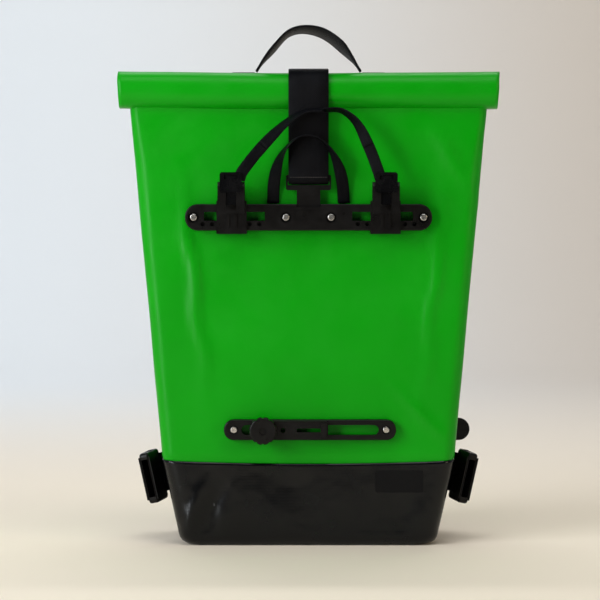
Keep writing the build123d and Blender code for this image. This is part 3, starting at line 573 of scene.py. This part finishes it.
def boot_level(z, inset):
    """One ring of the boot; towards the top it dips in the middle of the rack side."""
    half = boot_foot_half + (boot_half - boot_foot_half) * z / boot_top - inset
    depth = base_depth - foot_slack * (1 - z / boot_top) - 2 * inset
    rise = (z / boot_top) ** 3
    level = []
    for point in ring(half, depth, 15 * MM, 30 * MM, z):
        x = point.x
        y = point.y + inset
        if y < rack_y + 30 * MM:
            wave = -3.2 * MM * (1 - (x / boot_half) ** 2)
        else:
            wave = 0.8 * MM * sin(x * 40)
        out = Vector((x, y - (rack_y + depth / 2), 0)).normalized()
        push = boot_push(x, y, z)
        level.append(Vector((x + out.x * 0.7 * push, y + out.y * push, z + wave * rise)))
    return level


def boot():
    """The black boot: a welded tray with a rounded foot and a slightly wavy top edge."""
    foot_round = [(0.0, 12.5), (0.35, 8.2), (1.6, 4.6), (4.2, 1.7), (8.0, 0.3)]
    foot_top = foot_round[-1][0] * MM
    wall_levels = 26
    rows = [boot_level(z * MM, inset * MM) for z, inset in foot_round]
    for i in range(1, wall_levels + 1):
        rows.append(boot_level(foot_top + (boot_top - foot_top) * i / wall_levels, 0.0))
    tray = grid("boot", rows)
    work = bmesh.new()
    work.from_mesh(tray.data)
    work.verts.ensure_lookup_table()
    floor_face = work.faces.new([work.verts[i] for i in reversed(range(len(rows[0])))])
    bmesh.ops.recalc_face_normals(work, faces=work.faces)
    bmesh.ops.inset_region(work, faces=[floor_face], thickness=6 * MM, depth=0.0)
    work.to_mesh(tray.data)
    work.free()
    tray.data.shade_smooth()
    thicken(tray, boot_thickness)
    dress(tray, black, "bag")
    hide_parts("base_boot")


# ---- the roll ------------------------------------------------------------------------
def roll_shape(angle, grow):
    """A point on the roll's rounded section, as offsets in Y and Z."""
    half_y = (roll_high.y - roll_low.y) / 2 + grow
    half_z = (roll_high.z - roll_low.z) / 2 + grow
    c, s = cos(angle), sin(angle)
    reach = (abs(c) ** roll_squareness + abs(s) ** roll_squareness) ** (-1 / roll_squareness)
    return half_y * reach * c, half_z * reach * s


def roll():
    """The rolled-up mouth: a spiral of fabric that sags a little between its ends."""
    turns = 2.6
    steps = 150
    columns = 96
    pitch = 3.6 * MM
    outer_inset = 0.6 * MM
    half = (roll_high.x - roll_low.x) / 2
    height = roll_high.z - roll_low.z
    rows = []
    for c in range(columns + 1):
        x = -half + 2 * half * c / columns
        outwards = 1 if x > 0 else -1
        end = smooth_step(abs(x), half - 26 * MM, half)
        lift = -0.64 * MM * cos(pi * x / half) * (1 - end) + 0.96 * MM * end
        lift += 0.45 * MM * noise.noise(Vector((x * 7, 0.3, 0.0)))
        section = []
        for i in range(steps + 1):
            share = i / steps
            dy, dz = roll_shape(-pi / 2 - tau * turns * share, -pitch * turns * share - outer_inset)
            ripple = 0.36 * MM * noise.noise(Vector((x * 11, dy * 40, dz * 40))) * (1 - share)
            slack = 1.0 + 0.02 * noise.noise(Vector((x * 5, 7.7, share * 3)))
            slant = -2.2 * MM * (0.5 - dz / height)
            bulge = 1.0 * MM * noise.noise(Vector((dy * 60, dz * 60, x * 10)))
            section.append(Vector((x + (slant + bulge) * outwards * end, roll_mid.y + dy * slack + ripple,
                                   roll_mid.z + dz * slack + lift + ripple)))
        rows.append(section)
    cloth_roll = grid("roll", rows, wrap_across=False)
    thicken(cloth_roll, roll_thickness, offset=0)
    dress(cloth_roll, green, "roll")
    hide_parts("roll_top")


# ---- the closure strap ---------------------------------------------------------------
def slope_place(along, out):
    """A point on the far side's shoulder: down from the adjuster's upper edge, out from its underside."""
    down = Vector((0, cos(shoulder_slope), -sin(shoulder_slope)))
    outwards = Vector((0, sin(shoulder_slope), cos(shoulder_slope)))
    upper_edge = Vector((0, low("strap_adjuster").y, high("strap_adjuster").z - 4 * MM * outwards.z))
    return upper_edge + down * along * MM + outwards * out * MM


def closure():
    """The wide strap: up the rack side, over the roll and down to the adjuster."""
    plate_front = low("strap_hook").y
    plate_back = high("strap_hook").y
    slot_z = high("strap_hook").z - 8.4 * MM
    over_roll = 1.2 * MM
    roll_points = 15
    path = [Vector((0, plate_back + 1.6 * MM, slot_z + 14 * MM)),
            Vector((0, plate_back + 1.5 * MM, slot_z + 4 * MM)),
            Vector((0, plate_back - 0.6 * MM, slot_z)),
            Vector((0, plate_front + 0.6 * MM, slot_z)),
            Vector((0, plate_front - 1.7 * MM, slot_z + 4 * MM)),
            Vector((0, plate_front - 2.0 * MM, slot_z + 14 * MM)),
            Vector((0, (plate_front + roll_low.y) / 2 - 2.2 * MM, slot_z + 52 * MM)),
            Vector((0, roll_low.y - 1.2 * MM, roll_low.z + 3 * MM))]
    for i in range(roll_points):
        angle = pi + 0.15 - (pi + 0.35) * i / (roll_points - 1)
        dy, dz = roll_shape(angle, over_roll)
        path.append(Vector((0, roll_mid.y + dy, roll_mid.z + dz)))
    path.append(Vector((0, roll_high.y + 2.2 * MM, roll_low.z + 2 * MM)))
    through_adjuster = [(-12, 2.0), (2, 0.4), (7, 2.4), (10, 5.0), (16, 5.0), (19, 2.4), (23, -0.3)]
    path.extend([slope_place(along, out) for along, out in through_adjuster])
    smooth = curve_through(path, 170)
    piece = strap("closure_webbing", smooth, [across_x] * len(smooth), webbing_width, webbing_thickness)
    dress(piece, webbing, "roll")
    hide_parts("closure_strap")


def stitching():
    """A row of short threads across the closure strap, just above its lower lip."""
    count = 15
    spacing = 2.5 * MM
    half_stitch = 0.8 * MM
    y = low("strap_hook").y - 2.9 * MM
    z = high("strap_hook").z - 2.6 * MM
    threads = []
    for i in range(count):
        x = (i - (count - 1) / 2) * spacing
        path = [Vector((x - half_stitch, y + 0.3 * MM, z)), Vector((x, y - 0.25 * MM, z)),
                Vector((x + half_stitch, y + 0.3 * MM, z))]
        threads.append(strap("thread", path, [Vector((0, 0, 1))] * len(path), 0.7 * MM, 0.5 * MM))
    piece = merge("closure_stitching", threads)
    dress(piece, thread, "roll")


# ---- narrow straps -------------------------------------------------------------------
def twisted_path(points, twists, steps):
    """A strap's path and width directions; a twist of 1 is flat to the rack side, 0 edge-on."""
    path = curve_through(points, steps)
    stops = [(i / (len(twists) - 1), twist) for i, twist in enumerate(twists)]
    widths = []
    for i in range(len(path)):
        across = tangent_at(path, i).cross(Vector((0, 1, 0))).normalized()
        angle = radians(90 * through(stops, i / (len(path) - 1)))
        widths.append(across * sin(angle) + Vector((0, 1, 0)) * cos(angle))
    return path, widths


def release_strap():
    """The strap between the two latches, in two halves that meet at its top."""
    lever_y = low("left_latch").y + 3.2 * MM
    top_y = low("release_strap").y + 16 * MM
    apex = Vector((15 * MM, top_y, high("release_strap").z - 1.5 * MM))
    # Each half runs through these places: X, Y, and the height above its latch, up to the apex.
    halves = {
        "left": [(-68.5 * MM, lever_y, -7.5 * MM), (-65 * MM, lever_y, 1 * MM),
                 (-46 * MM, lever_y + 4 * MM, 25 * MM), (-22 * MM, top_y - 3 * MM, 49 * MM),
                 (-3 * MM, top_y, 60.5 * MM)],
        "right": [(71 * MM, lever_y, -7.5 * MM), (68.5 * MM, lever_y, 1 * MM),
                  (59 * MM, lever_y + 4 * MM, 26 * MM), (46.5 * MM, top_y - 3 * MM, 50 * MM),
                  (32 * MM, top_y, 61 * MM)],
    }
    steps = 44
    cut = 16
    for name, places in halves.items():
        latch_top = high(f"{name}_latch").z
        points = [Vector((x, y, latch_top + rise)) for x, y, rise in places] + [apex]
        path, widths = twisted_path(points, [1.0, 1.0, 0.85, 0.5, 0.25, 0.15], steps)
        end = strap(f"release_strap_{name}_end", path[:cut + 1], widths[:cut + 1],
                    release_width, release_thickness)
        dress(end, webbing)
        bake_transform(end)
        rest = strap(f"release_strap_{name}", path[cut:], widths[cut:], release_width, release_thickness)
        dress(rest, webbing)
        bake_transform(rest)
        if name == "left":
            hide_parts("release_strap")
    for name in halves:
        release_anchor(name)


def release_anchor(name):
    """The end of the release strap, sewn behind a latch's lever."""
    latch_low = low(f"{name}_latch")
    latch_high = high(f"{name}_latch")
    x = (latch_low.x + latch_high.x) / 2
    run = [Vector((x, latch_low.y + 2.9 * MM, latch_high.z + (k - 8) * MM)) for k in range(8)]
    anchor = strap(f"release_anchor_{name}", run, [across_x] * len(run), anchor_width, anchor_thickness)
    dress(anchor, webbing, f"{name}_latch")


def carry_loop():
    """The narrow loop above the rail, edge-on at its top."""
    foot = low("carry_loop").z + 0.7 * MM
    top = high("carry_loop").z - 0.5 * MM
    root_y = rack_y - 1.5 * MM
    top_out = 19.0 * MM
    half = 35.3 * MM
    sag_left = 1.2 * MM
    twists = [1.0, 1.0, 0.85, 0.5, 0.18, 0.05, 0.0, -0.05, -0.18, -0.5, -0.85, -1.0, -1.0]
    points = []
    for i in range(len(twists)):
        angle = pi - pi * i / (len(twists) - 1)
        rise = max(sin(angle), 0.0) ** 0.9
        points.append(Vector((half * cos(angle) - sag_left * sin(angle),
                              root_y - top_out * smooth_step(rise, 0.05, 1.0) ** 0.8,
                              foot + (top - foot) * rise)))
    path, widths = twisted_path(points, twists, 84)
    piece = strap("carry_loop_strap", path, widths, loop_width, loop_thickness)
    dress(piece, webbing, "carry_loop")
    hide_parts("carry_loop")


# ---- the top handle ------------------------------------------------------------------
def top_handle():
    """The webbing handle on the roll, leaning to the road side and pulled a little to the left."""
    upper = high("top_handle")
    half = upper.x - 1.0 * MM
    foot = Vector((0, roll_mid.y, roll_high.z - 0.6 * MM))
    lean = radians(20)
    rise = (upper.z - foot.z - 4.6 * MM) / cos(lean)
    foot_half_width = 1.8 * MM
    widening = 10.4 * MM
    half_t = handle_thickness / 2
    # The arch, as shares of its half span and of its rise.
    arch = [(-1.0, 0.0), (-0.87, 0.25), (-0.65, 0.57), (-0.39, 0.90), (-0.10, 1.0), (0.27, 0.91),
            (0.61, 0.62), (0.84, 0.30), (1.0, 0.0)]
    up = Vector((0, sin(lean), cos(lean)))
    way = Vector((0, cos(lean), -sin(lean)))
    path = curve_through([foot + across_x * half * u + up * rise * v for u, v in arch], 90)
    widths = []
    sections = []
    for index in range(len(path)):
        share = index / (len(path) - 1)
        half_w = foot_half_width + widening * smooth_step(min(share, 1 - share), 0.02, 0.24)
        roll_over = 0.16 * sin(tau * (share - 0.1))
        widths.append((way + Vector((0, 0, roll_over))).normalized())
        sections.append([(-half_w, -half_t * 0.4), (-half_w * 0.97, -half_t), (0, -half_t),
                         (half_w * 0.97, -half_t), (half_w, -half_t * 0.4)])
    piece = band("top_handle_strap", path, widths, sections)
    dress(piece, webbing, "top_handle")
    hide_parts("top_handle")
    tails = merge("top_handle_sewn_tails", [handle_tail(side, half) for side in (-1, 1)])
    dress(tails, webbing, "roll")
    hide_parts("top_handle_tails")


def handle_tail(side, half):
    """One sewn end of the handle, lying over the road side of the roll's top."""
    columns = 8
    steps = 12
    gap = 1.8 * MM
    length = 22.2 * MM
    outer, inner = -1.5 * MM, -2.6 * MM
    first_angle, turn = 38, 56
    rows = []
    uv = []
    for i in range(columns + 1):
        x = side * (half + gap + length * i / columns)
        section = []
        marks = []
        for grow, order in ((outer, range(steps + 1)), (inner, range(steps, -1, -1))):
            for k in order:
                dy, dz = roll_shape(radians(first_angle + turn * k / steps), grow)
                section.append(Vector((x, roll_mid.y + dy, roll_mid.z + dz)))
                marks.append((x, dy))
        rows.append(section)
        uv.append(marks)
    return face_outwards(grid("tail", rows, cap=True, uv=uv))


# ---- the far side --------------------------------------------------------------------
def hang(top_z, bottom_z, count, out):
    """Points down the road side, out from the filled bag's skin."""
    levels = [top_z + (bottom_z - top_z) * i / (count - 1) for i in range(count)]
    return [Vector((0, rack_y + bag_depth(z) + out, z)) for z in levels]


def far_strap():
    """The lower strap on the road side, and the patch it is sewn under."""
    top_z = low("strap_adjuster").z + 1.5 * MM
    points = hang(top_z, low("far_strap").z + 2 * MM, 24, 2.4 * MM)
    points[0] = slope_place(24, -0.2)
    path = curve_through(points, 70)
    piece = strap("far_strap_webbing", path, [across_x] * len(path), webbing_width, webbing_thickness)
    dress(piece, webbing)
    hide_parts("far_strap")
    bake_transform(piece)
    cover = hang(low("far_strap_patch").z, high("far_strap_patch").z, 17, 4.4 * MM)
    sewn = strap("far_patch", cover, [across_x] * len(cover), patch_width, patch_thickness)
    dress(sewn, patch, "bag")
    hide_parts("far_strap_patch")


# ---- pieces shown as they are in the frame -------------------------------------------
def cad_finishes():
    finishes = [
        (moulded, "moulded_plastic", ["upper_rail", "lower_rail", "left_hook", "right_hook", "strap_hook",
                                      "strap_adjuster", "slider_nut", "lower_hook_arm", "knob",
                                      "left_side_socket", "right_side_socket"]),
        (gloss_moulded, "moulded_plastic", ["left_latch", "right_latch"]),
        (gloss_moulded, "webbing", ["side_tab"]),
        (stainless, "steel", ["upper_rail_screws", "lower_rail_screws", "upper_rail_washers",
                              "lower_rail_washers", "upper_rail_nuts", "lower_rail_nuts",
                              "left_latch_pin", "right_latch_pin", "left_latch_spring",
                              "right_latch_spring", "hook_bolt", "lower_hook_washer"]),
        (board, "board", ["back_board", "base_board", "roll_stiffener"]),
        (webbing, "webbing", ["carry_loop_tails", "left_side_strap", "right_side_strap"]),
        (patch, "patch", ["label_patch", "left_side_patch", "right_side_patch"]),
    ]
    for finish, slot_name, names in finishes:
        for node in names:
            dress(nodes[node], finish)


# ---- floor, light and camera ---------------------------------------------------------
def paper_sweep():
    """A pale sweep of paper under and behind the bag, with painted light: lighter and cooler on the left,
    darker and warmer on the right, and painted shade far forward.
    """
    front, back, height, bend, half_width = -3.5, 3.6, 4.0, 1.2, 4.5
    bend_steps = 12
    profile = [(front, 0.0), (back - bend, 0.0)]
    for i in range(1, bend_steps + 1):
        angle = -pi / 2 + pi / 2 * i / bend_steps
        profile.append((back - bend + bend * cos(angle), bend + bend * sin(angle)))
    profile.append((back, height))
    rows = [[Vector((-half_width, y, z)), Vector((half_width, y, z))] for y, z in profile]
    paper = grid("sweep", rows, wrap_across=False)
    made, tree, shader = material("sweep_paper", (0.80, 0.80, 0.80), 0.9, specular=0.1)
    # Painted light: the wall part of the paper is lighter and cooler on the left and darker and warmer on
    # the right.
    across = map_range(tree, axis_of(tree, "Object", "X"), -0.8, 1.0, kind="SMOOTHSTEP")
    backwards = map_range(tree, axis_of(tree, "Object", "Y"), 0.1, 2.4, kind="SMOOTHSTEP")
    forward = map_range(tree, axis_of(tree, "Object", "Y"), -2.6, -1.2, kind="SMOOTHSTEP")
    wall_painted_light = blend_colours(tree, across, (0.79, 0.83, 0.86), (0.60, 0.54, 0.47))
    pale = blend_colours(tree, backwards, (0.85, 0.76, 0.63), wall_painted_light)
    shaded = blend_colours(tree, forward, (0.34, 0.34, 0.33), pale)
    tree.links.new(shaded, shader.inputs["Base Color"])
    bumps(tree, shader, [(noise_of(tree, coordinates(tree), 300.0), 0.05, 0.5 * MM)])
    paper.data.materials.append(made)


def lamp(name, place, target, size, power, colour):
    """A soft rectangular lamp that lights the bag but isn't seen."""
    data = bpy.data.lights.new(name, "AREA")
    data.shape = "RECTANGLE"
    data.size, data.size_y = size
    data.energy = power
    data.color = colour
    obj = link(bpy.data.objects.new(name, data))
    obj.location = place
    obj.visible_camera = False
    aim = Vector(target) - Vector(place)
    obj.rotation_euler = aim.to_track_quat("-Z", "Y").to_euler()


def room_light():
    """A dim room in front of the bag and a brighter one behind the paper."""
    world = bpy.data.worlds.new("room")
    world.use_nodes = True
    tree = world.node_tree
    strength = map_range(tree, axis_of(tree, "Generated", "Y"), -0.25, 0.8, 0.05, 0.62)
    backdrop = tree.nodes["Background"]
    backdrop.inputs["Color"].default_value = (0.90, 0.95, 1.0, 1)
    tree.links.new(strength, backdrop.inputs["Strength"])
    bpy.context.scene.world = world


def camera():
    """The camera, level with the bag's middle and looking slightly down at its rack side."""
    distance = 2.4
    view_width = 0.600
    elevation = radians(2.0)
    target = Vector((-8.5 * MM, rack_y, 247 * MM))
    data = bpy.data.cameras.new("camera")
    data.sensor_width = 36
    data.lens = data.sensor_width * distance / view_width
    obj = link(bpy.data.objects.new("camera", data))
    obj.location = target + Vector((0, -distance * cos(elevation), distance * sin(elevation)))
    obj.rotation_euler = (target - obj.location).to_track_quat("-Z", "Y").to_euler()
    bpy.context.scene.camera = obj
    bpy.context.scene.view_settings.view_transform = "Standard"


def studio():
    """Everything round the bag."""
    paper_sweep()
    lamp("window_left", (-2.3, -1.5, 1.4), (0, 0, 0.25), (1.2, 1.4), 44, (0.93, 0.96, 1.0))
    lamp("overhead", (0.2, -1.3, 2.5), (0, 0, 0.2), (1.8, 1.2), 22, (1.0, 1.0, 1.0))
    lamp("strip_left", (-1.45, -1.75, 0.45), (0, 0, 0.25), (0.40, 1.3), 20, (0.90, 0.95, 1.0))
    lamp("wall_wash", (0, 1.6, 3.4), (0, 3.5, 0.6), (3.0, 0.6), 80, (0.97, 0.98, 1.0))
    lamp("warm_right", (2.3, -1.4, 1.0), (0, 0, 0.1), (0.9, 1.0), 15, (1.0, 0.84, 0.62))
    room_light()
    camera()


bag_skin()
boot()
roll()
closure()
stitching()
release_strap()
carry_loop()
top_handle()
far_strap()
cad_finishes()
studio()
